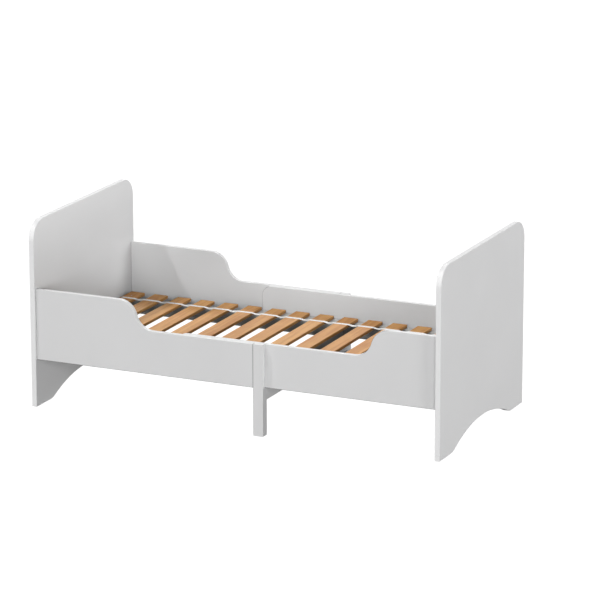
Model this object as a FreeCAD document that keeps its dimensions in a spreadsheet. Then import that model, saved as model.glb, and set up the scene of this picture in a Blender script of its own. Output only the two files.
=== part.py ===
import FreeCAD, Part
import os
import re
import Sketcher
from math import atan2, sqrt
from FreeCAD import Rotation, Vector

# Extendable toddler bed, drawn at its full length. The row frame has its origin on the floor at the
# middle of the footprint: +X runs from the headboard to the footboard, +Y to the back, +Z up.
# The head half carries the outer side panels, the middle legs and the cross beam. The foot half
# carries the inner side panels, which slide along the inside of the outer ones.

doc = FreeCAD.newDocument("ExtendableBed")

# ---- Sizes, in millimetres -------------------------------------------------------------------

SIZES = {
    "bedLength": (2084, "overall length, fully extended"),
    "bedWidth": (1017, "overall width, which is the width of the end boards"),
    "boardHeight": (900, "height of the head and foot boards"),
    "boardThick": (25, "thickness of the end boards"),
    "boardCorner": (94, "radius of the boards' top corners"),
    "archHeight": (80, "height of the arch under each end board"),
    "archRadius": (793, "radius of that arch"),
    "archEase": (122, "radius where the arch runs into the feet"),
    "edgeRound": (2, "rounding of painted edges"),
    "panelThick": (22, "thickness of the side panels"),
    "panelInset": (10, "outer side panel, in from the board's edge"),
    "panelBottom": (231, "underside of the side panels above the floor"),
    "sideTop": (439, "top of the low side"),
    "guardTop": (574, "top of the high guard"),
    "guardCurve": (90, "radius of the two arcs between guard and low side"),
    "headGuard": (524, "headboard's face to the middle of the guard's slope"),
    "footGuard": (327, "footboard's face to the middle of the guard's slope"),
    "headSpan": (1126, "length of the outer side panels"),
    "slideGap": (1.5, "running clearance between outer and inner panels"),
    "runGap": (1, "clearance under the inner panels and over the beam"),
    "lapLength": (451, "how far the inner panels reach past the legs' foot side"),
    "innerCorner": (48, "radius of the inner panels' free top corner"),
    "legWidth": (50, "width of a middle leg along the bed"),
    "legDepth": (44, "depth of a middle leg below its shoulder"),
    "beamThick": (22, "thickness of the cross beam"),
    "beamEnd": (62, "height of the cross beam's low ends"),
    "railHeight": (65, "height of all slat rails"),
    "headRailWidth": (48, "width of the head rails"),
    "footRailWidth": (50, "width of the foot rails"),
    "railGap": (2.5, "gap between a head rail and the foot rail beside it"),
    "railEndGap": (60, "foot rail's end to the footboard"),
    "stopLength": (40, "length of a stop block"),
    "stopDrop": (52, "height of a stop block under its rail"),
    "stopGap": (0.5, "stop block to the cross beam at full length"),
    "slatLevel": (317, "underside of the slats above the floor"),
    "slatWidth": (73, "width of a slat"),
    "slatThick": (15, "thickness of a slat"),
    "slatRound": (1.5, "rounding of a slat's long edges"),
    "slatSideGap": (5.5, "slat's end to the inner side panel"),
    "firstSlatGap": (15.5, "headboard to the first slat"),
    "lastSlatGap": (34.5, "last slat to the footboard"),
    "slatCount": (16, "number of slats"),
    "ribbonWidth": (18, "width of the spacing ribbons"),
    "ribbonThick": (1, "thickness of the spacing ribbons"),
    "ribbonInset": (115, "slat's end to the middle of the ribbon"),
    "ribbonEnd": (8, "ribbon's end in from the outer slats' edges"),
    "dowelDia": (8, "wooden dowel"),
    "dowelLength": (30, "wooden dowel"),
    "camDia": (15, "cam lock"),
    "camFloor": (1.5, "cam lock's depth past its pin"),
    "camSetback": (34, "cam lock's middle to the end of its panel"),
    "camRise": (45, "lowest and highest cam, in from the panel's edges"),
    "camInset": (11, "cam pin to the side of a rail"),
    "camDrive": (3, "cam's hexagon socket, half its width and its depth"),
    "camPinDia": (7, "cam pin's shaft"),
    "camThreadDia": (5, "cam pin's thread"),
    "camThread": (11, "cam pin's thread length"),
    "guardDowel": (53, "upper dowel, down from the guard's top"),
    "railDowel": (14, "rail's dowel, in from the rail's outer side"),
    "beamDowel": (16, "beam's dowels, above and below its pin"),
    "screwDia": (4, "wood screws"),
    "screwHead": (8, "countersunk head"),
    "screwSink": (2.4, "height of the countersunk head"),
    "screwDrive": (1.6, "screw's hexagon socket, half its width"),
    "screwDriveDepth": (1.5, "screw's hexagon socket, its depth"),
    "railScrew": (65, "screw from a foot rail into its inner panel"),
    "railScrewEnd": (60, "outer rail screws to the rail's ends"),
    "railScrewCount": (5, "screws in each foot rail"),
    "stopScrew": (70, "screw from a stop block into its rail"),
    "stopScrewEdge": (10, "stop screws in from the block's ends"),
    "slatScrew": (40, "screw from an end slat into its rail"),
    "stapleCrown": (10, "staple's width across the ribbon"),
    "stapleLeg": (9, "staple's legs, from the top of the ribbon down"),
    "stapleWire": (0.6, "thickness of a staple's wire"),
    "stapleWide": (1.2, "width of a staple's wire"),
    "fitGap": (0.1, "radial clearance of every pin, dowel, cam and screw in its hole"),
    "endGap": (1, "clearance past the end of every pin, dowel and screw"),
}

sizes = doc.addObject("Spreadsheet::Sheet", "sizes")
for row, (alias, (value, note)) in enumerate(SIZES.items(), start=1):
    sizes.set(f"A{row}", note)
    sizes.set(f"B{row}", str(value))
    sizes.setAlias(f"B{row}", alias)
doc.recompute()

SIDES = {"front": -1, "back": 1}
INWARD = {"front": "+Y", "back": "-Y"}
OUTWARD = {"front": "-Y", "back": "+Y"}

# Places that several pieces share, in the row frame. The ones in Y are distances from the middle.
PLACES = {
    "headFace": "-bedLength / 2 + boardThick",
    "footFace": "bedLength / 2 - boardThick",
    "legLeft": "headFace + headSpan",
    "legRight": "legLeft + legWidth",
    "beamLeft": "legRight - beamThick",
    "innerLeft": "legRight - lapLength",
    "legShoulder": "panelBottom - runGap",
    "outerSkin": "bedWidth / 2 - panelInset",
    "innerSkin": "outerSkin - panelThick - slideGap",
    "innerFace": "innerSkin - panelThick",
    "footRailFace": "innerFace - footRailWidth",
    "headRailSide": "footRailFace - railGap",
    "headRailFace": "headRailSide - headRailWidth",
    "railMiddle": "slatLevel - railHeight / 2",
    "slatTop": "slatLevel + slatThick",
    "slatEnd": "innerFace - slatSideGap",
    "slatPitch": "(footFace - headFace - firstSlatGap - lastSlatGap - slatWidth) / (slatCount - 1)",
    "firstSlat": "headFace + firstSlatGap + slatWidth / 2",
    "camBelow": "camPinDia / 2 + camFloor",
    "legInner": "outerSkin - legDepth",
    "beamLow": "min(legShoulder; slatLevel - railHeight - runGap)",
    "beamBottom": "beamLow - beamEnd",
    "beamShoulder": "headRailSide + railGap / 2",
    "beamMiddle": "beamBottom + beamEnd / 2",
    "footRailEnd": "footFace - railEndGap",
    "railScrewPitch": "(footRailEnd - innerLeft - 2 * railScrewEnd) / (railScrewCount - 1)",
    "stopLeft": "beamLeft - stopGap - stopLength",
    "stopBottom": "slatLevel - railHeight - stopDrop",
    "lowCam": "panelBottom + camRise",
    "highCam": "sideTop - camRise",
    "sideMiddle": "(panelBottom + sideTop) / 2",
    "ribbonLeft": "headFace + firstSlatGap + ribbonEnd",
    "ribbonMiddle": "slatEnd - ribbonInset",
    "ribbonTop": "slatTop + ribbonThick",
}


def num(alias):
    """The plain number of a size, where a sketch needs a first guess or a loop needs a count."""
    return SIZES[alias][0]


def formula(text):
    """Writes the names of sizes and places out as references to the spreadsheet."""
    def written(match):
        word = match.group()
        if word in PLACES:
            return "(" + formula(PLACES[word]) + ")"
        return f"sizes.{word}" if word in SIZES else word
    return re.sub(r"[A-Za-z]\w*", written, str(text))


def bind(obj, **expressions):
    for prop, text in expressions.items():
        obj.setExpression(prop, formula(text))


def place(obj, point, turned=False):
    """Puts the object's own origin at the point, turned half round about Z if asked."""
    if turned:
        obj.Placement.Rotation = Rotation(Vector(0, 0, 1), 180)
    for axis, text in zip("xyz", point):
        obj.setExpression(f"Placement.Base.{axis}", formula(text))


def moved(point, way, distance):
    """The point, shifted along a way such as "+X" or "-Y"."""
    shifted = list(point)
    axis = "XYZ".index(way[1])
    shifted[axis] = f"{point[axis]} {way[0]} ({distance})"
    return tuple(shifted)


def opposite(way):
    return {"+": "-", "-": "+"}[way[0]] + way[1]


# ---- Building blocks -------------------------------------------------------------------------

def new_body(name):
    body = doc.addObject("PartDesign::Body", name)
    body.Label = name
    return body


def new_sketch(body, name, plane):
    sketch = body.newObject("Sketcher::SketchObject", name)
    support = [f for f in body.Origin.OriginFeatures if f.Role == plane][0]
    sketch.AttachmentSupport = [(support, "")]
    sketch.MapMode = "FlatFace"
    return sketch


def dimension(sketch, name, kind, *where, to):
    """A driving dimension of a sketch, bound to the sheet. where ends with a first guess."""
    index = sketch.addConstraint(Sketcher.Constraint(kind, *where))
    sketch.renameConstraint(index, name)
    sketch.setExpression(f"Constraints.{name}", formula(to))


def closed_outline(sketch, points, arcs=()):
    """Draws straight edges from point to point and closes them; an edge named in arcs is an arc
    about the given centre, which runs anticlockwise when its last value is true. Edges that are
    level or upright in the first guess stay so, and an arc stays tangent to both its neighbours."""
    count = len(points)
    arcs = dict(arcs)
    for i, start in enumerate(points):
        end = points[(i + 1) % count]
        if i in arcs:
            (cx, cy), ccw = arcs[i]
            centre = Vector(cx, cy, 0)
            first, last = (start, end) if ccw else (end, start)
            a, b = Vector(*first, 0) - centre, Vector(*last, 0) - centre
            circle = Part.Circle(centre, Vector(0, 0, 1), a.Length)
            sketch.addGeometry(Part.ArcOfCircle(circle, atan2(a.y, a.x), atan2(b.y, b.x)))
        else:
            sketch.addGeometry(Part.LineSegment(Vector(*start, 0), Vector(*end, 0)))
    for i, start in enumerate(points):
        after = (i + 1) % count
        last = 2 if i not in arcs or arcs[i][1] else 1
        first = 1 if after not in arcs or arcs[after][1] else 2
        kind = "Tangent" if i in arcs or after in arcs else "Coincident"
        sketch.addConstraint(Sketcher.Constraint(kind, i, last, after, first))
        if i not in arcs:
            end = points[after]
            if abs(start[1] - end[1]) < 1e-6:
                sketch.addConstraint(Sketcher.Constraint("Horizontal", i))
            elif abs(start[0] - end[0]) < 1e-6:
                sketch.addConstraint(Sketcher.Constraint("Vertical", i))


def pad(body, sketch, name, length, reverse=False):
    feature = body.newObject("PartDesign::Pad", name)
    feature.Profile = sketch
    feature.Reversed = reverse
    bind(feature, Length=length)
    doc.recompute()
    return feature


def edge_names(shape, wanted):
    return [f"Edge{i}" for i, edge in enumerate(shape.Edges, start=1) if wanted(edge)]


def round_edges(body, name, radius, wanted):
    base = body.Tip
    feature = body.newObject("PartDesign::Fillet", name)
    feature.Base = (base, edge_names(base.Shape, wanted))
    bind(feature, Radius=radius)
    doc.recompute()
    return feature


def in_faces(axis, *levels):
    """Picks the edges that lie in the planes across an axis at these levels."""
    def wanted(edge):
        ends = [v.Point[axis] for v in edge.Vertexes] + [edge.CenterOfMass[axis]]
        return any(all(abs(e - level) < 0.01 for e in ends) for level in levels)
    return wanted


def along(axis):
    """Picks the straight edges that run along an axis."""
    def wanted(edge):
        ends = [v.Point for v in edge.Vertexes]
        if len(ends) != 2:
            return False
        run = [abs(ends[1][i] - ends[0][i]) for i in range(3)]
        return run[axis] > 0.01 and sum(run) - run[axis] < 0.01
    return wanted


def rectangle(sketch, width, height, guess):
    wide, high = guess
    closed_outline(sketch, [(0, 0), (wide, 0), (wide, high), (0, high)])
    sketch.addConstraint(Sketcher.Constraint("Coincident", 0, 1, -1, 1))
    dimension(sketch, "width", "DistanceX", 0, 1, 0, 2, wide, to=width)
    dimension(sketch, "height", "DistanceY", 1, 1, 1, 2, high, to=height)


def plank(name, size, corner, radius, rounded=None):
    """A sawn bar: size and corner are three formulas each, rounded picks the edges to round."""
    body = new_body(name)
    sketch = new_sketch(body, f"{name}_section", "XY_Plane")
    rectangle(sketch, size[0], size[1], (30, 20))
    pad(body, sketch, f"{name}_pad", size[2])
    round_edges(body, f"{name}_edges", radius, rounded or (lambda edge: True))
    place(body, corner)
    return body


def solid(kind, name, point, way, **expressions):
    """A Part primitive whose own axis points the given way from the given point."""
    obj = doc.addObject(f"Part::{kind}", name)
    bind(obj, **expressions)
    target = {"X": Vector(1, 0, 0), "Y": Vector(0, 1, 0), "Z": Vector(0, 0, 1)}[way[1]]
    target = target if way[0] == "+" else target.negative()
    obj.Placement.Rotation = Rotation(Vector(0, 0, 1), target)
    place(obj, point)
    return obj


def rod(name, point, way, dia, length):
    return solid("Cylinder", name, point, way, Radius=f"({dia}) / 2", Height=length)


def fuse(name, *pieces):
    obj = doc.addObject("Part::MultiFuse", name)
    obj.Shapes = list(pieces)
    return obj


def cut(name, base, tool):
    obj = doc.addObject("Part::Cut", name)
    obj.Base, obj.Tool = base, tool
    return obj


def compound(name, pieces):
    obj = doc.addObject("Part::Compound", name)
    obj.Links = list(pieces)
    obj.Label = name
    return obj


# ---- Fasteners -------------------------------------------------------------------------------
# Each call makes the piece for its group, and the hole for the pieces that it joins.

groups = {}
holes = {}


def file_hole(hole, parts):
    for part in parts:
        holes.setdefault(part, []).append(hole)


def cam_joint(half, tag, point, into, face, to_face, parts):
    """A cam lock in one piece holds a pin that is screwed into the other. point is on the pin's
    axis where the two pieces meet, into points into the pin's own piece, and the cam is let in
    from the side that face points to."""
    back = opposite(into)
    shaft = rod(f"{tag}_shaft", point, back, "camPinDia", "camSetback - endGap")
    thread = rod(f"{tag}_thread", point, into, "camThreadDia", "camThread")
    groups.setdefault(f"{half}_cam_pins", []).append(fuse(f"{tag}_pin", shaft, thread))
    bottom = moved(moved(point, back, "camSetback"), opposite(face), "camBelow")
    top = moved(moved(point, back, "camSetback"), face, to_face)
    barrel = rod(f"{tag}_barrel", bottom, face, "camDia", f"camBelow + {to_face}")
    socket = solid("Prism", f"{tag}_socket", moved(top, opposite(face), "camDrive"), face,
                   Circumradius="camDrive", Height="camDrive")
    bore = rod(f"{tag}_bore", point, back, "camPinDia + 2 * fitGap", "camSetback")
    lock = cut(f"{tag}_cam", barrel, fuse(f"{tag}_hollow", bore, socket))
    groups.setdefault(f"{half}_cam_locks", []).append(lock)
    pilot = rod(f"{tag}_pilot", point, into, "camThreadDia + 2 * fitGap", "camThread + endGap")
    pit = rod(f"{tag}_pit", moved(bottom, opposite(face), "fitGap"), face,
              "camDia + 2 * fitGap", f"camBelow + {to_face} + fitGap")
    file_hole(fuse(f"{tag}_hole", bore, pilot, pit), parts)


def dowel_joint(half, tag, point, way, parts):
    """A dowel that lies half in each of the two pieces that meet at point."""
    start = moved(point, opposite(way), "dowelLength / 2")
    groups.setdefault(f"{half}_dowels", []).append(
        rod(f"{tag}_dowel", start, way, "dowelDia", "dowelLength"))
    file_hole(rod(f"{tag}_hole", moved(start, opposite(way), "endGap"), way,
                  "dowelDia + 2 * fitGap", "dowelLength + 2 * endGap"), parts)


def screw(group, tag, point, way, length, parts):
    """A countersunk screw, flush with the face that point is on."""
    gap = "fitGap"
    shank = rod(f"{tag}_shank", point, way, "screwDia", length)
    head = solid("Cone", f"{tag}_head", point, way, Radius1="screwHead / 2",
                 Radius2="screwDia / 2", Height="screwSink")
    socket = solid("Prism", f"{tag}_socket", point, way,
                   Circumradius="screwDrive", Height="screwDriveDepth")
    piece = cut(f"{tag}_screw", fuse(f"{tag}_blank", shank, head), socket)
    groups.setdefault(group, []).append(piece)
    bore = rod(f"{tag}_bore", point, way, f"screwDia + 2 * {gap}", f"{length} + endGap")
    sink = solid("Cone", f"{tag}_sink", point, way, Radius1=f"screwHead / 2 + {gap}",
                 Radius2=f"screwDia / 2 + {gap}", Height=f"screwSink + {gap}")
    file_hole(fuse(f"{tag}_hole", bore, sink), parts)


def block(name, corner, size):
    return solid("Box", name, corner, "+Z", Length=size[0], Width=size[1], Height=size[2])


def staple(slat, ribbon, x, y):
    """A staple across a ribbon, its crown on top and its two legs down into the slat. x and y are
    its middle."""
    tag = f"{slat}_{ribbon}"
    left, start = f"{x} - stapleWide / 2", f"{y} - stapleCrown / 2"
    crown = block(f"{tag}_crown", (left, start, "ribbonTop"),
                  ("stapleWide", "stapleCrown", "stapleWire"))
    legs = []
    for number, leg_y in enumerate((start, f"{start} + stapleCrown - stapleWire")):
        legs.append(block(f"{tag}_leg_{number}", (left, leg_y, "ribbonTop - stapleLeg"),
                          ("stapleWide", "stapleWire", "stapleLeg")))
        slot = block(f"{tag}_slot_{number}",
                     (f"{left} - fitGap", f"{leg_y} - fitGap", "ribbonTop - stapleLeg - endGap"),
                     ("stapleWide + 2 * fitGap", "stapleWire + 2 * fitGap", "stapleLeg + endGap"))
        file_hole(slot, [slat, ribbon])
    groups.setdefault(f"{slat}_staples", []).append(fuse(f"{tag}_staple", crown, *legs))


# ---- End boards ------------------------------------------------------------------------------

def end_board(name, left):
    """A board with two rounded top corners and a shallow arch between its feet."""
    body = new_body(name)
    face = new_sketch(body, f"{name}_face", "YZ_Plane")
    wide, high = num("bedWidth"), num("boardHeight")
    rectangle(face, "bedWidth", "boardHeight", (wide, high))
    pad(body, face, f"{name}_pad", "boardThick")
    arch = new_sketch(body, f"{name}_arch", "YZ_Plane")
    centre = Vector(wide / 2, num("archHeight") - num("archRadius"), 0)
    arch.addGeometry(Part.Circle(centre, Vector(0, 0, 1), num("archRadius")))
    dimension(arch, "middle", "DistanceX", -1, 1, 0, 3, centre.x, to="bedWidth / 2")
    dimension(arch, "depth", "DistanceY", 0, 3, -1, 1, -centre.y, to="archRadius - archHeight")
    dimension(arch, "radius", "Radius", 0, num("archRadius"), to="archRadius")
    pocket = body.newObject("PartDesign::Pocket", f"{name}_arch_cut")
    pocket.Profile = arch
    pocket.Reversed = True
    bind(pocket, Length="boardThick")
    doc.recompute()
    across = along(0)
    round_edges(body, f"{name}_corners", "boardCorner",
                lambda e: across(e) and e.CenterOfMass.z > high - 1)
    round_edges(body, f"{name}_feet", "archEase",
                lambda e: across(e) and e.CenterOfMass.z < 1 and 1 < e.CenterOfMass.y < wide - 1)
    round_edges(body, f"{name}_edges", "edgeRound", in_faces(0, 0, num("boardThick")))
    place(body, (left, "-bedWidth / 2", "0"))
    return body


# ---- Side panels -----------------------------------------------------------------------------

def side_panel(name, corner, length, guard=None, turned=False):
    """A side panel, drawn from its lower corner at its own end board and padded towards +Y, or
    turned half round. guard is the distance from that end to the middle of the slope where the
    high guard comes down to the low side in two tangent arcs; without it the panel is low."""
    body = new_body(name)
    sketch = new_sketch(body, f"{name}_face", "XZ_Plane")
    low, high = num("sideTop") - num("panelBottom"), num("guardTop") - num("panelBottom")
    far, mid, radius = 1200, 500, num("guardCurve")
    if guard:
        drop = (high - low) / 2
        half = sqrt(radius ** 2 - (radius - drop) ** 2)
        points = [(0, 0), (far, 0), (far, low), (mid + half, low), (mid, low + drop),
                  (mid - half, high), (0, high)]
        closed_outline(sketch, points, {3: ((mid + half, low + radius), False),
                                        4: ((mid - half, high - radius), True)})
        sketch.addConstraint(Sketcher.Constraint("Coincident", 0, 1, -1, 1))
        sketch.addConstraint(Sketcher.Constraint("Equal", 3, 4))
        dimension(sketch, "curve", "Radius", 3, radius, to="guardCurve")
        dimension(sketch, "low", "DistanceY", 1, 1, 1, 2, low, to="sideTop - panelBottom")
        dimension(sketch, "high", "DistanceY", 6, 2, 6, 1, high, to="guardTop - panelBottom")
        dimension(sketch, "span", "DistanceX", 0, 1, 0, 2, far, to=length)
        dimension(sketch, "guard", "DistanceX", 0, 1, 4, 1, mid, to=guard)
    else:
        rectangle(sketch, length, "sideTop - panelBottom", (far, low))
    pad(body, sketch, f"{name}_pad", "panelThick", reverse=True)
    if turned:
        across = along(1)
        free_end = max(v.X for v in body.Tip.Shape.Vertexes)
        round_edges(body, f"{name}_corner", "innerCorner",
                    lambda e: across(e) and e.CenterOfMass.x > free_end - 1 and e.CenterOfMass.z > 1)
    round_edges(body, f"{name}_edges", "edgeRound", in_faces(1, 0, num("panelThick")))
    place(body, corner, turned)
    return body


# ---- Middle legs and cross beam --------------------------------------------------------------

def middle_leg(name, corner, turned=False):
    """Full depth up to a shoulder, and as thin as the outer panel above it, so that the inner
    panel runs over the shoulder."""
    body = new_body(name)
    side = new_sketch(body, f"{name}_side", "YZ_Plane")
    deep, thin = num("legDepth"), num("panelThick")
    shoulder, top = num("panelBottom") - num("runGap"), num("sideTop")
    closed_outline(side, [(0, 0), (deep, 0), (deep, shoulder), (thin, shoulder), (thin, top),
                          (0, top)])
    side.addConstraint(Sketcher.Constraint("Coincident", 0, 1, -1, 1))
    dimension(side, "deep", "DistanceX", 0, 1, 0, 2, deep, to="legDepth")
    dimension(side, "shoulder", "DistanceY", 1, 1, 1, 2, shoulder, to="legShoulder")
    dimension(side, "thin", "DistanceX", 4, 2, 4, 1, thin, to="panelThick")
    dimension(side, "top", "DistanceY", 5, 2, 5, 1, top, to="sideTop")
    pad(body, side, f"{name}_pad", "legWidth")
    round_edges(body, f"{name}_edges", "edgeRound", in_faces(0, 0, num("legWidth")))
    place(body, corner, turned)
    return body


def cross_beam(name):
    """Joins the legs. Its low ends let the inner panels and the foot rails pass over them."""
    body = new_body(name)
    face = new_sketch(body, f"{name}_face", "YZ_Plane")
    span, notch, low, high = 900, 50, 60, 150
    closed_outline(face, [(0, 0), (span, 0), (span, low), (span - notch, low),
                          (span - notch, high), (notch, high), (notch, low), (0, low)])
    face.addConstraint(Sketcher.Constraint("Coincident", 0, 1, -1, 1))
    face.addConstraint(Sketcher.Constraint("Equal", 1, 7))
    face.addConstraint(Sketcher.Constraint("Equal", 2, 6))
    dimension(face, "span", "DistanceX", 0, 1, 0, 2, span, to="2 * legInner")
    dimension(face, "low", "DistanceY", 1, 1, 1, 2, low, to="beamEnd")
    dimension(face, "high", "DistanceY", 0, 1, 4, 1, high, to="slatLevel - runGap - beamBottom")
    dimension(face, "notch", "DistanceX", 2, 2, 2, 1, notch, to="legInner - beamShoulder")
    pad(body, face, f"{name}_pad", "beamThick")
    round_edges(body, f"{name}_edges", "edgeRound", in_faces(0, 0, num("beamThick")))
    place(body, ("beamLeft", "-legInner", "beamBottom"))
    return body


# ---- The wooden pieces -----------------------------------------------------------------------

blanks = {
    "headboard": end_board("headboard", "-bedLength / 2"),
    "footboard": end_board("footboard", "footFace"),
    "cross_beam": cross_beam("cross_beam"),
}
for side, (outer_y, inner_y) in {"front": ("-outerSkin", "-innerFace"),
                                 "back": ("outerSkin - panelThick", "innerSkin")}.items():
    blanks[f"{side}_outer_panel"] = side_panel(
        f"{side}_outer_panel", ("headFace", outer_y, "panelBottom"), "headSpan", guard="headGuard")
    blanks[f"{side}_inner_panel"] = side_panel(
        f"{side}_inner_panel", ("footFace", inner_y, "panelBottom"), "footFace - innerLeft",
        guard="footGuard" if side == "front" else None, turned=True)
    sign = SIDES[side]
    blanks[f"{side}_middle_leg"] = middle_leg(
        f"{side}_middle_leg", ("legLeft" if side == "front" else "legRight", f"{sign} * outerSkin", "0"),
        turned=side == "back")
    head_y, foot_y = (("-headRailSide", "-innerFace") if side == "front"
                      else ("headRailFace", "footRailFace"))
    blanks[f"{side}_head_rail"] = plank(
        f"{side}_head_rail", ("beamLeft - headFace", "headRailWidth", "railHeight"),
        ("headFace", head_y, "slatLevel - railHeight"), "edgeRound")
    blanks[f"{side}_foot_rail"] = plank(
        f"{side}_foot_rail", ("footRailEnd - innerLeft", "footRailWidth", "railHeight"),
        ("innerLeft", foot_y, "slatLevel - railHeight"), "edgeRound")
    blanks[f"{side}_stop_block"] = plank(
        f"{side}_stop_block", ("stopLength", "footRailWidth", "stopDrop"),
        ("stopLeft", foot_y, "stopBottom"), "edgeRound")

slats = [f"slat_{number:02d}" for number in range(1, num("slatCount") + 1)]
for step, slat in enumerate(slats):
    blanks[slat] = plank(slat, ("slatWidth", "2 * slatEnd", "slatThick"),
                         (f"firstSlat + {step} * slatPitch - slatWidth / 2", "-slatEnd", "slatLevel"),
                         "slatRound", rounded=along(1))
for side, sign in SIDES.items():
    blanks[f"{side}_ribbon"] = block(
        f"{side}_ribbon", ("ribbonLeft", f"{sign} * ribbonMiddle - ribbonWidth / 2", "slatTop"),
        ("(slatCount - 1) * slatPitch + slatWidth - 2 * ribbonEnd", "ribbonWidth", "ribbonThick"))

# ---- Where the pieces are joined ---------------------------------------------------------------

for side, sign in SIDES.items():
    inward, outward = INWARD[side], OUTWARD[side]
    outer, inner, leg = f"{side}_outer_panel", f"{side}_inner_panel", f"{side}_middle_leg"
    head_rail, foot_rail, stop = f"{side}_head_rail", f"{side}_foot_rail", f"{side}_stop_block"
    outer_y = f"{sign} * (outerSkin - panelThick / 2)"
    inner_y = f"{sign} * (innerSkin - panelThick / 2)"
    half_panel, half_beam = "panelThick / 2", "beamThick / 2"

    # Outer panel to the headboard and to its leg
    cam_joint("head", f"{side}_outer_a", ("headFace", outer_y, "lowCam"), "-X", inward,
              half_panel, [outer, "headboard"])
    for tag, level in {"b": "sideMiddle", "c": "guardTop - guardDowel"}.items():
        dowel_joint("head", f"{side}_outer_{tag}", ("headFace", outer_y, level), "+X",
                    [outer, "headboard"])
    for tag, level in {"d": "lowCam", "e": "highCam"}.items():
        cam_joint("head", f"{side}_outer_{tag}", ("legLeft", outer_y, level), "+X", inward,
                  half_panel, [outer, leg])
    dowel_joint("head", f"{side}_outer_f", ("legLeft", outer_y, "sideMiddle"), "+X", [outer, leg])

    # Cross beam to the leg
    end = ("beamLeft + beamThick / 2", f"{sign} * legInner", "beamMiddle")
    cam_joint("head", f"{side}_beam_a", end, outward, "-X", half_beam, ["cross_beam", leg])
    for tag, way in {"b": "+Z", "c": "-Z"}.items():
        dowel_joint("head", f"{side}_beam_{tag}", moved(end, way, "beamDowel"), outward,
                    ["cross_beam", leg])

    # Head rail to the headboard and to the beam
    for tag, x, way, mate in (("a", "headFace", "-X", "headboard"), ("b", "beamLeft", "+X", "cross_beam")):
        cam_joint("head", f"{side}_head_rail_{tag}", (x, f"{sign} * (headRailFace + camInset)", "railMiddle"),
                  way, inward, "camInset", [head_rail, mate])
        dowel_joint("head", f"{side}_head_rail_{tag}_dowel",
                    (x, f"{sign} * (headRailSide - railDowel)", "railMiddle"), way, [head_rail, mate])

    # Inner panel to the footboard
    for tag, level in {"a": "lowCam", "b": "highCam"}.items():
        cam_joint("foot", f"{side}_inner_{tag}", ("footFace", inner_y, level), "+X", inward,
                  half_panel, [inner, "footboard"])
    levels = ["sideMiddle"] + (["guardTop - guardDowel"] if side == "front" else [])
    for number, level in enumerate(levels):
        dowel_joint("foot", f"{side}_inner_dowel_{number}", ("footFace", inner_y, level), "+X",
                    [inner, "footboard"])

    # Foot rail to the inner panel, stop block to the foot rail
    for number in range(num("railScrewCount")):
        x = f"innerLeft + railScrewEnd + {number} * railScrewPitch"
        screw("rail_screws", f"{side}_rail_{number}", (x, f"{sign} * footRailFace", "railMiddle"),
              outward, "railScrew", [foot_rail, inner])
    rail_y = f"{sign} * (footRailFace + footRailWidth / 2)"
    for tag, x in {"a": "stopLeft + stopScrewEdge", "b": "stopLeft + stopLength - stopScrewEdge"}.items():
        screw("stop_block_screws", f"{side}_stop_{tag}", (x, rail_y, "stopBottom"), "+Z",
              "stopScrew", [stop, foot_rail])

    # End slats to their rails
    screw("first_slat_screws", f"{side}_first_slat",
          ("firstSlat", f"{sign} * (headRailFace + headRailWidth / 2)", "slatTop"), "-Z", "slatScrew",
          [slats[0], head_rail])
    screw("last_slat_screws", f"{side}_last_slat",
          (f"firstSlat + {len(slats) - 1} * slatPitch", rail_y, "slatTop"), "-Z", "slatScrew",
          [slats[-1], foot_rail])

    # Ribbon to every slat
    for step, slat in enumerate(slats):
        staple(slat, f"{side}_ribbon", f"firstSlat + {step} * slatPitch", f"{sign} * ribbonMiddle")

# ---- Nodes -------------------------------------------------------------------------------------

nodes = {}
for name, blank in blanks.items():
    if name in holes:
        blank.Label = f"{name}_blank"
        nodes[name] = cut(name, blank, compound(f"{name}_holes", holes[name]))
        nodes[name].Label = name
    else:
        nodes[name] = blank
for name, pieces in groups.items():
    nodes[name] = compound(name, pieces)
doc.recompute()

for obj in doc.Objects:
    if {"Invalid", "Error"} & set(obj.State):
        raise RuntimeError(f"{obj.Label} failed: {obj.State}")
for name, obj in nodes.items():
    if obj.Label != name or obj.Shape.isNull() or not obj.Shape.isValid() or not obj.Shape.Solids:
        raise RuntimeError(f"{name} has no valid solid")

os.makedirs("parts", exist_ok=True)
for name, obj in nodes.items():
    obj.Shape.exportStep(f"parts/{name}.step")
print(len(nodes), "nodes,", sum(len(obj.Shape.Solids) for obj in nodes.values()), "solids")
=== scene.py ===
import math
import bmesh
import bpy
from mathutils import Matrix, Vector


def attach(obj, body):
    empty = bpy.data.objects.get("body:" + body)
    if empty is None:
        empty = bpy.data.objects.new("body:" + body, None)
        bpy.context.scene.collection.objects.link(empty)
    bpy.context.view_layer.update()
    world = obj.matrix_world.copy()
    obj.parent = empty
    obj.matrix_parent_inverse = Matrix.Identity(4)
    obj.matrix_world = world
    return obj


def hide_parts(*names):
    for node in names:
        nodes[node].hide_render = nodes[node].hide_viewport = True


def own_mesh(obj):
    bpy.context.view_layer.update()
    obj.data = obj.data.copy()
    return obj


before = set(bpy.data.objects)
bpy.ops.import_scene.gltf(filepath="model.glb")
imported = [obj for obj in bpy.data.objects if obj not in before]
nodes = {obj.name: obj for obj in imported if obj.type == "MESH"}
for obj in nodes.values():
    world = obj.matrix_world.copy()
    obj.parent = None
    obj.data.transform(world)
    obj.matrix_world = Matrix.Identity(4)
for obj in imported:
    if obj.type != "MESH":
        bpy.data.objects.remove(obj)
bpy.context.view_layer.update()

view = {
    "azimuth": 24.727,  # degrees round the bed from its front
    "elevation": 15.27,
    "roll": -0.091,
    "place": (7.0946, -15.1498, 5.0785),  # metres
    "lens": 221.55,
    "reach": 500,
}

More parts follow.
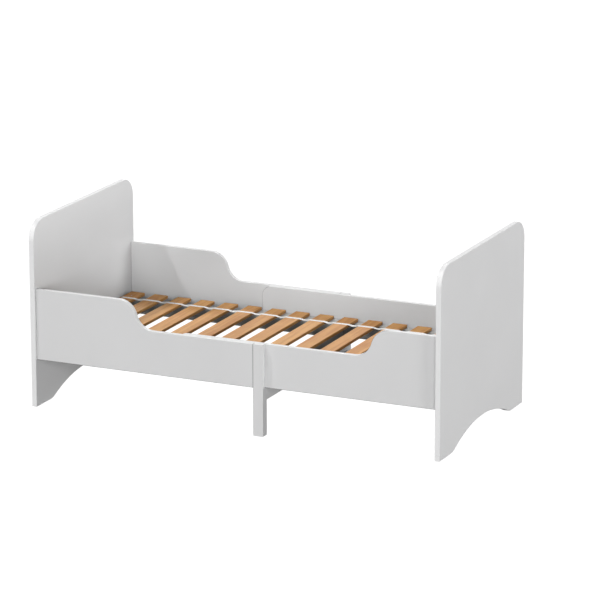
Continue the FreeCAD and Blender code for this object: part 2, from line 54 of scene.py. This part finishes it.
# Lamps stand far off. Each has: compass bearing it shines from (0 is the front, 90 the foot end),
# height in degrees, how wide it looks from the bed in degrees, and strength.
studio = {
    "sky": 0.17,
    "lamps": {
        "footBox": (99, 4, 16, 0.41),
        "footFrontBox": (68, 4, 16, 0.35),
        "frontRightBox": (32, 8, 20, 0.30),
        "frontLeftBox": (326, 8, 24, 0.17),
        "frontTopBox": (0, 35, 24, 0.16),
        "backTopBox": (195, 44, 14, 0.36),
        "backLeftBox": (225, 22, 30, 0.20),
        "headBox": (270, 22, 30, 0.12),
    },
    "keyPath": (0.561, 0.35, -1.0),  # the way the key lamp's light travels
    "keySpread": 3.0,
    "keyStrength": 0.41,
    "floorShade": 0.08,  # what the floor sends back up on to the bed
    "floorGlow": 1.1,  # how white the camera sees it
    "floorReach": 60.0,
}


def makeCamera():
    lens = bpy.data.cameras.new("camera")
    lens.lens = view["lens"]
    lens.clip_end = view["reach"]
    camera = bpy.data.objects.new("camera", lens)
    bpy.context.scene.collection.objects.link(camera)
    camera.location = view["place"]
    turn = Matrix.Rotation(math.radians(view["azimuth"]), 4, "Z")
    tilt = Matrix.Rotation(math.radians(90 - view["elevation"]), 4, "X")
    roll = Matrix.Rotation(math.radians(view["roll"]), 4, "Z")
    camera.rotation_euler = (turn @ tilt @ roll).to_euler()
    bpy.context.scene.camera = camera


def hangLamp(name, path, spread, strength):
    sun = bpy.data.lights.new(name, "SUN")
    sun.energy = strength * math.pi
    sun.angle = math.radians(spread)
    lamp = bpy.data.objects.new(name, sun)
    lamp.rotation_euler = path.to_track_quat("-Z", "Y").to_euler()
    bpy.context.scene.collection.objects.link(lamp)


def lightStudio():
    world = bpy.data.worlds.new("softSky")
    bpy.context.scene.world = world
    world.use_nodes = True
    sky = world.node_tree.nodes["Background"]
    sky.inputs["Color"].default_value = (1.0, 1.0, 1.0, 1.0)
    sky.inputs["Strength"].default_value = studio["sky"]
    for name, (bearing, height, spread, strength) in studio["lamps"].items():
        turn, lift = math.radians(bearing), math.radians(height)
        level = math.cos(lift)
        source = Vector((math.sin(turn) * level, -math.cos(turn) * level, math.sin(lift)))
        hangLamp(name, -source, spread, strength)
    hangLamp("key", Vector(studio["keyPath"]), studio["keySpread"], studio["keyStrength"])


def layFloor():
    mesh = bpy.data.meshes.new("floor")
    bm = bmesh.new()
    bmesh.ops.create_grid(bm, x_segments=1, y_segments=1, size=studio["floorReach"])
    bm.to_mesh(mesh)
    bm.free()
    floor = bpy.data.objects.new("floor", mesh)
    bpy.context.scene.collection.objects.link(floor)
    material = bpy.data.materials.new("paleFloor")
    material.use_nodes = True
    tree = material.node_tree
    shader = tree.nodes["Principled BSDF"]
    shade = studio["floorShade"]
    shader.inputs["Base Color"].default_value = (shade, shade, shade, 1.0)
    shader.inputs["Roughness"].default_value = 1.0
    shader.inputs["Specular IOR Level"].default_value = 0.0
    # White to the camera and dark to every other ray, so that little light comes up from below
    glow = tree.nodes.new("ShaderNodeEmission")
    glow.inputs["Strength"].default_value = studio["floorGlow"]
    seen = tree.nodes.new("ShaderNodeLightPath")
    mix = tree.nodes.new("ShaderNodeMixShader")
    tree.links.new(seen.outputs["Is Camera Ray"], mix.inputs["Fac"])
    tree.links.new(shader.outputs["BSDF"], mix.inputs[1])
    tree.links.new(glow.outputs["Emission"], mix.inputs[2])
    tree.links.new(mix.outputs["Shader"], tree.nodes["Material Output"].inputs["Surface"])
    mesh.materials.append(material)


bpy.context.scene.view_settings.view_transform = "Standard"
makeCamera()
lightStudio()
layFloor()
print("camera, lamps and floor are set")


# Small helpers for node trees

def put(tree, kind, **values):
    node = tree.nodes.new("ShaderNode" + kind)
    for name, value in values.items():
        setattr(node, name, value)
    return node


def feed(tree, source, target):
    if isinstance(source, (int, float)):
        target.default_value = source
    elif isinstance(source, tuple):
        full = len(source) == len(target.default_value)
        target.default_value = source if full else (*source, 1.0)
    else:
        tree.links.new(source, target)


def maths(tree, operation, first, second=0.0, clamp=False):
    node = put(tree, "Math", operation=operation, use_clamp=clamp)
    feed(tree, first, node.inputs[0])
    feed(tree, second, node.inputs[1])
    return node.outputs[0]


def vectorMaths(tree, operation, first, second=(0.0, 0.0, 0.0)):
    node = put(tree, "VectorMath", operation=operation)
    feed(tree, first, node.inputs[0])
    feed(tree, second, node.inputs[1])
    return node.outputs["Value" if operation == "DOT_PRODUCT" else "Vector"]


def spread(tree, value, low, high, toLow=0.0, toHigh=1.0, smooth=True):
    course = "SMOOTHSTEP" if smooth else "LINEAR"
    node = put(tree, "MapRange", interpolation_type=course, clamp=True)
    for target, source in zip(node.inputs, (value, low, high, toLow, toHigh)):
        feed(tree, source, target)
    return node.outputs["Result"]


def blendColour(tree, share, first, second, how="MIX"):
    node = put(tree, "Mix", data_type="RGBA", blend_type=how)
    feed(tree, share, node.inputs["Factor"])
    feed(tree, first, node.inputs[6])
    feed(tree, second, node.inputs[7])
    return node.outputs[2]


def noise(tree, where, scale, detail=2.0, roughness=0.5, seed=None, distortion=0.0):
    node = put(tree, "TexNoise", noise_dimensions="3D" if seed is None else "4D")
    feed(tree, where, node.inputs["Vector"])
    if seed is not None:
        feed(tree, seed, node.inputs["W"])
    feed(tree, scale, node.inputs["Scale"])
    feed(tree, detail, node.inputs["Detail"])
    feed(tree, roughness, node.inputs["Roughness"])
    feed(tree, distortion, node.inputs["Distortion"])
    return node.outputs["Fac"]


def objectPlace(tree):
    return put(tree, "TexCoord").outputs["Object"]


def surfaceNormal(tree):
    return put(tree, "NewGeometry").outputs["Normal"]


def split(tree, vector):
    node = put(tree, "SeparateXYZ")
    feed(tree, vector, node.inputs[0])
    return node.outputs


def grey(tree, value):
    node = put(tree, "CombineColor")
    for channel in node.inputs:
        feed(tree, value, channel)
    return node.outputs["Color"]


def newGroup(name, inputs, outputs):
    group = bpy.data.node_groups.new(name, "ShaderNodeTree")
    for label, (kind, value) in inputs.items():
        socket = group.interface.new_socket(label, in_out="INPUT", socket_type="NodeSocket" + kind)
        if value is not None:
            socket.default_value = value
    for label, kind in outputs.items():
        group.interface.new_socket(label, in_out="OUTPUT", socket_type="NodeSocket" + kind)
    given = group.nodes.new("NodeGroupInput").outputs
    return group, given, group.nodes.new("NodeGroupOutput").inputs


def useGroup(tree, group, **values):
    node = put(tree, "Group", node_tree=group)
    for name, value in values.items():
        feed(tree, value, node.inputs[name])
    return node.outputs


def newMaterial(name, **sockets):
    material = bpy.data.materials.new(name)
    material.use_nodes = True
    shader = material.node_tree.nodes["Principled BSDF"]
    for label, value in sockets.items():
        feed(material.node_tree, value, shader.inputs[label.replace("_", " ")])
    return material, material.node_tree, shader.inputs


def raiseSurface(tree, shader, height, distance):
    bump = put(tree, "Bump")
    bump.inputs["Strength"].default_value = 1.0
    bump.inputs["Distance"].default_value = distance
    feed(tree, height, bump.inputs["Height"])
    feed(tree, bump.outputs["Normal"], shader["Normal"])


# Shared effects

lengthwise = (1.0, 0.0, 0.0)
crosswise = (0.0, 1.0, 0.0)
black = (0.0, 0.0, 0.0)
noiseSpan = (0.3, 0.7)  # nearly all of a noise's values lie in between

skinLook = {
    # Share of the surface's normal along the face's axis where the band starts and where it is full
    "turn": (0.45, 0.15),
    # Share of it that points up where the band starts to fade, and where only topBand is left
    "topTurn": (0.5, 0.9),
    "topBand": 0.15,
    "cloudSize": 2.6,  # clouds per metre
    "cloud": (0.985, 1.012),
    "smearSize": 9.0,
}


def makeBoardSkin():
    # Pearl-fine skin of a lacquered board, lighter where the surface turns away from the face
    group, given, result = newGroup(
        "boardSkin",
        {
            "Face axis": ("Vector", crosswise),
            "Face colour": ("Color", (0.75, 0.75, 0.75, 1.0)),
            "Band colour": ("Color", (0.87, 0.87, 0.87, 1.0)),
            "Banded": ("Float", 1.0),
            "Pearl size": ("Float", 0.0012),
            "Smudge": ("Float", 0.05),
        },
        {"Color": "Color", "Roughness": "Float", "Height": "Float"},
    )
    place = objectPlace(group)
    facing = surfaceNormal(group)
    along = maths(group, "ABSOLUTE", vectorMaths(group, "DOT_PRODUCT", facing, given["Face axis"]))
    banded = maths(group, "MULTIPLY", spread(group, along, *skinLook["turn"]), given["Banded"])
    upward = split(group, facing)["Z"]
    kept = spread(group, upward, *skinLook["topTurn"], 1.0, skinLook["topBand"])
    banded = maths(group, "MULTIPLY", banded, kept)
    colour = blendColour(group, banded, given["Face colour"], given["Band colour"])
    cloud = noise(group, place, skinLook["cloudSize"], 3.0)
    cloud = grey(group, spread(group, cloud, *noiseSpan, *skinLook["cloud"]))
    feed(group, blendColour(group, 1.0, colour, cloud, "MULTIPLY"), result["Color"])
    smear = noise(group, place, skinLook["smearSize"], 4.0, 0.6)
    feed(group, maths(group, "MULTIPLY", smear, given["Smudge"]), result["Roughness"])
    pearl = put(group, "TexVoronoi", feature="SMOOTH_F1")
    feed(group, vectorMaths(group, "DIVIDE", place, given["Pearl size"]), pearl.inputs["Vector"])
    feed(group, 1.0, pearl.inputs["Scale"])
    feed(group, pearl.outputs["Distance"], result["Height"])
    return group


grainLook = {
    "boardStep": 7.31,  # how far apart two boards lie in the noise
    "bendSize": 16.0,
    "bend": 4.5,
    "rings": 9.0,
    "poreSize": 520.0,
    "poreStretch": (1.0, 1.6, 1.0),
    "pores": (0.66, 0.74),
    "poreDepth": 0.7,
}


def makeWoodGrain():
    # Growth figure, fibres and pores of planed wood; "Stretch" is small along the fibres
    group, given, result = newGroup(
        "woodGrain",
        {
            "Place": ("Vector", None),
            "Board": ("Float", 0.0),
            "Stretch": ("Vector", (1.0, 0.06, 1.0)),
            "Figure size": ("Float", 45.0),
            "Fibre size": ("Float", 900.0),
        },
        {"Figure": "Float", "Fibre": "Float", "Pore": "Float", "Height": "Float"},
    )
    run = vectorMaths(group, "MULTIPLY", given["Place"], given["Stretch"])
    piece = maths(group, "MULTIPLY", given["Board"], grainLook["boardStep"])
    bend = noise(group, run, grainLook["bendSize"], 2.0, 0.5, piece)
    rings = maths(group, "MULTIPLY", bend, grainLook["bend"])
    across = noise(group, run, given["Figure size"], 3.0, 0.55, piece, 0.6)
    turns = maths(group, "MULTIPLY", maths(group, "ADD", rings, across), grainLook["rings"])
    feed(group, spread(group, maths(group, "SINE", turns), -1.0, 1.0), result["Figure"])
    fibre = noise(group, run, given["Fibre size"], 4.0, 0.65, piece)
    feed(group, spread(group, fibre, *noiseSpan), result["Fibre"])
    poreRun = vectorMaths(group, "MULTIPLY", run, grainLook["poreStretch"])
    pore = noise(group, poreRun, grainLook["poreSize"], 2.0, 0.5, piece)
    pore = spread(group, pore, *grainLook["pores"])
    feed(group, pore, result["Pore"])
    depth = maths(group, "MULTIPLY", pore, grainLook["poreDepth"])
    feed(group, maths(group, "SUBTRACT", fibre, depth), result["Height"])
    return group


boardSkin = makeBoardSkin()
woodGrain = makeWoodGrain()

lacquer = {
    "face": (0.745, 0.745, 0.748),
    "band": (0.87, 0.87, 0.872),
    "legBand": 0.231,  # height above which a middle leg has the lighter band
    "noBand": 9.0,  # metres, higher than any piece
    "step": 0.001,  # metres over which one colour gives way to another at a height
    "pearl": 0.0011,  # metres across one fleck of the skin
    "pearlHeight": 0.000012,
    "roughness": 0.40,
    "smudge": 0.10,
    "groove": 0.0027,  # half the width of the line of painted shade where two pieces butt
    "grooveShade": 0.5,
    "underDark": 0.9,  # share of black on the panels' lower edges, for the shade there
    "underTurn": (-0.02, -0.3),  # how far down such an edge faces where that starts and is full
    "endShade": 0.7,  # share of black painted round an inner panel's free end, as shade
    "endTurn": (-0.08, -0.3),  # the same for how far it faces the headboard
    "endRim": ((0.1, 0.3), (0.99, 0.9)),  # only the rounding is dark, not the end or the face
    "rail": (0.50, 0.49, 0.475),  # darker colour of the rails under the slats; on the cross beam's top it is painted shade
    "beamShadeFrom": 0.232,  # height above which the cross beam takes the rails' darker colour, as painted shade under the slats
    "headFace": -1.017,
    "legLeft": 0.109,
    "footFace": 1.017,
}


def endShade(tree):
    # Painted shade: the rounding round the free end of an inner panel is darkened to a thin dark
    # line
    facing = split(tree, surfaceNormal(tree))
    across = maths(tree, "ABSOLUTE", facing["Y"])
    inner, outer = (spread(tree, across, *limits) for limits in lacquer["endRim"])
    toEnd = spread(tree, facing["X"], *lacquer["endTurn"], 0.0, lacquer["endShade"])
    return maths(tree, "MULTIPLY", maths(tree, "MULTIPLY", inner, outer), toEnd)


def makeLacquer(name, axis, bandFrom=0.0, joints=(), face=None, freeEnd=False, shadedFrom=None):
    # joints: where along the bed this piece butts against another; shade is painted there as a dark
    # line in the groove
    material, tree, shader = newMaterial(name, IOR=1.5)
    place = split(tree, objectPlace(tree))

    def above(height):
        return spread(tree, place["Z"], height - lacquer["step"], height, smooth=False)

    skin = useGroup(tree, boardSkin, **{
        "Face axis": axis,
        "Face colour": face or lacquer["face"],
        "Band colour": lacquer["band"],
        "Banded": above(bandFrom),
        "Pearl size": lacquer["pearl"],
        "Smudge": lacquer["smudge"],
    })
    colour = skin["Color"]
    wide = lacquer["groove"]
    # Painted shade: each joint darkens the colour towards black in a narrow line
    for joint in joints:
        away = maths(tree, "ABSOLUTE", maths(tree, "SUBTRACT", place["X"], joint))
        depth = spread(tree, away, wide / 3, wide, lacquer["grooveShade"], 0.0)
        colour = blendColour(tree, depth, colour, black)
    # Painted shade: the cross beam's top, under the slats, takes the rails' darker colour
    if shadedFrom:
        colour = blendColour(tree, above(shadedFrom), colour, lacquer["rail"])
    # Painted shade round the free end of an inner panel
    if freeEnd:
        colour = blendColour(tree, endShade(tree), colour, black)
    # Painted shade on the downward-facing edges of the pieces that have joints
    if joints:
        facing = split(tree, surfaceNormal(tree))
        under = spread(tree, facing["Z"], *lacquer["underTurn"], 0.0, lacquer["underDark"])
        colour = blendColour(tree, under, colour, black)
    feed(tree, colour, shader["Base Color"])
    dull = lacquer["roughness"] - lacquer["smudge"] / 2
    feed(tree, maths(tree, "ADD", skin["Roughness"], dull), shader["Roughness"])
    raiseSurface(tree, shader, skin["Height"], lacquer["pearlHeight"])
    return material


slat = {
    "first": -0.965,  # middle of the first slat, metres from the middle of the bed
    "pitch": 0.1274,
    "count": 16,
    "width": 0.073,
    "top": 0.332,
    "light": (0.655, 0.337, 0.104),
    "dark": (0.48, 0.197, 0.045),
    "pore": (0.27, 0.105, 0.028),
    "endGrain": (0.32, 0.14, 0.045),
    "bounce": (0.225, 0.205, 0.185),
    "figureTone": (0.30, 0.74),
    "cloudTone": (-0.26, 0.26),
    "boardTone": (-0.16, 0.24),
    "fibreTone": (-0.12, 0.12),
    "poreShare": 0.45,
    "endShare": 0.8,
    "endTurn": (0.6, 0.95),
    "cloudSize": 9.0,
    "chance": 3.5,  # another value deals the slats other tones
    "roughness": (0.52, 0.66),
    "grainHeight": 0.00007,
}


def makeSlatWood():
    material, tree, shader = newMaterial("slatWood", IOR=1.48)
    place = objectPlace(tree)
    count = maths(tree, "SUBTRACT", split(tree, place)["X"], slat["first"])
    board = maths(tree, "ROUND", maths(tree, "DIVIDE", count, slat["pitch"]))
    chance = put(tree, "TexWhiteNoise", noise_dimensions="1D")
    feed(tree, maths(tree, "ADD", board, slat["chance"]), chance.inputs["W"])
    wood = useGroup(tree, woodGrain, Place=place, Board=board)
    cloud = noise(tree, place, slat["cloudSize"], 2.0, 0.5, board)
    tone = spread(tree, wood["Figure"], 0.0, 1.0, *slat["figureTone"], False)
    tone = maths(tree, "ADD", tone, spread(tree, cloud, 0.25, 0.75, *slat["cloudTone"], False))
    luck = spread(tree, chance.outputs["Value"], 0.0, 1.0, *slat["boardTone"], False)
    tone = maths(tree, "ADD", tone, luck)
    fibre = spread(tree, wood["Fibre"], 0.0, 1.0, *slat["fibreTone"], False)
    tone = maths(tree, "ADD", tone, fibre, True)
    colour = blendColour(tree, tone, slat["dark"], slat["light"])
    pore = maths(tree, "MULTIPLY", wood["Pore"], slat["poreShare"])
    colour = blendColour(tree, pore, colour, slat["pore"])
    end = vectorMaths(tree, "DOT_PRODUCT", surfaceNormal(tree), crosswise)
    end = spread(tree, maths(tree, "ABSOLUTE", end), *slat["endTurn"])
    colour = blendColour(
        tree, maths(tree, "MULTIPLY", end, slat["endShare"]), colour, slat["endGrain"])
    # The slats send back a tamer colour than they show, so that lacquer beside them stays neutral
    bounced = put(tree, "LightPath").outputs["Is Diffuse Ray"]
    feed(tree, blendColour(tree, bounced, colour, slat["bounce"]), shader["Base Color"])
    dull = spread(tree, wood["Fibre"], 0.0, 1.0, *slat["roughness"], False)
    feed(tree, dull, shader["Roughness"])
    raiseSurface(tree, shader, wood["Height"], slat["grainHeight"])
    return material


dowel = {
    "stretch": (0.06, 1.0, 1.0),
    "figureSize": 220.0,
    "fibreSize": 1600.0,
    "dark": (0.60, 0.42, 0.25),
    "light": (0.70, 0.53, 0.34),
    "pore": (0.34, 0.20, 0.10),
    "poreShare": 0.5,
    "roughness": (0.62, 0.78),
    "grainHeight": 0.00008,
}


def makeDowelWood():
    material, tree, shader = newMaterial("dowelWood", IOR=1.48)
    wood = useGroup(tree, woodGrain, Place=objectPlace(tree), **{
        "Stretch": dowel["stretch"],
        "Figure size": dowel["figureSize"],
        "Fibre size": dowel["fibreSize"],
    })
    colour = blendColour(tree, wood["Figure"], dowel["dark"], dowel["light"])
    pore = maths(tree, "MULTIPLY", wood["Pore"], dowel["poreShare"])
    feed(tree, blendColour(tree, pore, colour, dowel["pore"]), shader["Base Color"])
    dull = spread(tree, wood["Fibre"], 0.0, 1.0, *dowel["roughness"], False)
    feed(tree, dull, shader["Roughness"])
    raiseSurface(tree, shader, wood["Height"], dowel["grainHeight"])
    return material


# Each metal: light and dark colour, least and most roughness, size of its clouds
metals = {
    "castZinc": ((0.66, 0.66, 0.64), (0.48, 0.48, 0.46), 0.38, 0.56, 240.0),
    "platedSteel": ((0.74, 0.74, 0.71), (0.58, 0.58, 0.55), 0.24, 0.40, 300.0),
}
metalHeight = 0.00003


def makeMetal(name):
    light, dark, low, high, scale = metals[name]
    material, tree, shader = newMaterial(name)
    place = objectPlace(tree)
    cloud = noise(tree, place, scale, 4.0, 0.6)
    feed(tree, blendColour(tree, cloud, dark, light), shader["Base Color"])
    dull = noise(tree, place, scale * 2.3, 3.0)
    dull = spread(tree, dull, *noiseSpan, low, high, False)
    feed(tree, dull, shader["Roughness"])
    shader["Metallic"].default_value = 1.0
    raiseSurface(tree, shader, noise(tree, place, scale * 6.0, 2.0), metalHeight)
    return material


def dress(names, material):
    for name in names:
        piece = nodes[name].data
        piece.materials.clear()
        piece.materials.append(material)


def bothSides(*parts):
    return [side + "_" + part for side in ("front", "back") for part in parts]


outerJoints = (lacquer["headFace"], lacquer["legLeft"])
innerJoints = (lacquer["footFace"],)
boardLacquer = makeLacquer("boardLacquer", lengthwise)
beamLacquer = makeLacquer("beamLacquer", lengthwise, shadedFrom=lacquer["beamShadeFrom"])
outerLacquer = makeLacquer("outerLacquer", crosswise, joints=outerJoints)
innerLacquer = makeLacquer("innerLacquer", crosswise, joints=innerJoints, freeEnd=True)
legLacquer = makeLacquer("legLacquer", crosswise, lacquer["legBand"], (lacquer["legLeft"],))
# Rails and stop blocks in the darker grey, without the lighter band
railGrey = makeLacquer("railGrey", crosswise, lacquer["noBand"], face=lacquer["rail"])
slatNames = ["slat_%02d" % (i + 1) for i in range(slat["count"])]
dress(["headboard", "footboard"], boardLacquer)
dress(["cross_beam"], beamLacquer)
dress(bothSides("outer_panel"), outerLacquer)
dress(bothSides("inner_panel"), innerLacquer)
dress(bothSides("middle_leg"), legLacquer)
dress(bothSides("head_rail", "foot_rail", "stop_block"), railGrey)
dress(slatNames, makeSlatWood())
dress(["head_dowels", "foot_dowels"], makeDowelWood())
dress(["head_cam_locks", "foot_cam_locks"], makeMetal("castZinc"))
steel = makeMetal("platedSteel")
dress(["head_cam_pins", "foot_cam_pins", "rail_screws", "stop_block_screws"], steel)
dress(["first_slat_screws", "last_slat_screws"], steel)
dress([name + "_staples" for name in slatNames], steel)
print("the CAD pieces have their finishes")


# Ribbons: a woven tape lies flat on every slat and dips a little between two slats.
tape = {
    "middle": 0.3325,  # from the bed's middle line, metres
    "width": 0.018,
    "thick": 0.001,
    "dip": 0.0042,
    "sag": 1.4,  # more than 1 gathers the dip in the middle of the gap
    "stray": 0.0006,  # how far it wanders sideways
    "waves": (23, 61),  # radians per metre of the long and the short wandering
    "shortShare": 0.6,
    "lean": 0.25,  # how unevenly it dips across its width
    "leanWave": 40,
    "steps": {"flat": 8, "gap": 24, "across": 4},
    "start": -0.9935,
    "end": 0.9745,
    "keep": 1 - (0.70 / 15) / 0.0544,  # share of a gap that is left when the bed is pushed in
    "yarn": 0.0011,
    "fibreSize": 1500.0,
    "weave": (0.94, 1.0),
    "yarnTone": (-0.03, 0.03),
    "weaveHeight": 0.00012,
    "colour": (0.98, 0.98, 0.97),
}


def makeTapeCloth():
    material, tree, shader = newMaterial("wovenTape", Roughness=0.85, Sheen_Weight=0.25, IOR=1.45)
    place = objectPlace(tree)
    along = split(tree, place)
    turns = 2 * math.pi / tape["yarn"]
    warp = maths(tree, "SINE", maths(tree, "MULTIPLY", along["X"], turns))
    weft = maths(tree, "SINE", maths(tree, "MULTIPLY", along["Y"], turns))
    weave = maths(tree, "MULTIPLY", warp, weft)
    shade = spread(tree, weave, -1.0, 1.0, *tape["weave"], False)
    fibre = noise(tree, place, tape["fibreSize"], 2.0)
    yarn = spread(tree, fibre, *noiseSpan, *tape["yarnTone"], False)
    tint = grey(tree, maths(tree, "ADD", shade, yarn))
    feed(tree, blendColour(tree, 1.0, tape["colour"], tint, "MULTIPLY"), shader["Base Color"])
    raiseSurface(tree, shader, weave, tape["weaveHeight"])
    return material


def layTape(name, fromX, toX, dip, steps):
    # One length of tape on each side of the bed, in one mesh
    mesh = bpy.data.meshes.new(name)
    bm = bmesh.new()
    long, short = tape["waves"]
    for side in (-1, 1):
        grid = bmesh.ops.create_grid(
            bm, x_segments=steps, y_segments=tape["steps"]["across"], size=0.5)
        for vert in grid["verts"]:
            share = vert.co.x + 0.5
            x = fromX + share * (toX - fromX)
            wander = math.sin(long * x + side)
            wander += tape["shortShare"] * math.sin(short * x + 2 * side)
            fall = dip * math.sin(math.pi * min(max(share, 0.0), 1.0)) ** tape["sag"]
            lean = tape["lean"] * dip * vert.co.y
            fall += lean * math.sin(math.pi * share) * math.sin(tape["leanWave"] * x + side)
            stray = tape["stray"] * wander
            y = side * tape["middle"] + stray + vert.co.y * tape["width"]
            vert.co = (x, y, slat["top"] - fall)
    bmesh.ops.solidify(bm, geom=bm.faces[:], thickness=-tape["thick"])
    bmesh.ops.recalc_face_normals(bm, faces=bm.faces[:])
    bm.to_mesh(mesh)
    bm.free()
    mesh.materials.append(tapeCloth)
    piece = bpy.data.objects.new(name, mesh)
    bpy.context.scene.collection.objects.link(piece)
    return piece


tapeCloth = makeTapeCloth()
bodyOf = ["head_half"] + slatNames[1:-1] + ["foot_half"]
for i in range(slat["count"]):
    middle = slat["first"] + i * slat["pitch"]
    left, right = middle - slat["width"] / 2, middle + slat["width"] / 2
    start, end = max(left, tape["start"]), min(right, tape["end"])
    flat = layTape("ribbon_slat_%02d" % (i + 1), start, end, 0.0, tape["steps"]["flat"])
    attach(flat, bodyOf[i])
    if i == 0:
        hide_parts("front_ribbon", "back_ribbon")
    if i < slat["count"] - 1:
        nextLeft = right + slat["pitch"] - slat["width"]
        steps = tape["steps"]["gap"]
        bridge = layTape("ribbon_gap_%02d" % (i + 1), right, nextLeft, tape["dip"], steps)
        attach(bridge, bodyOf[i])
        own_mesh(bridge)
print("the ribbons lie on the slats")
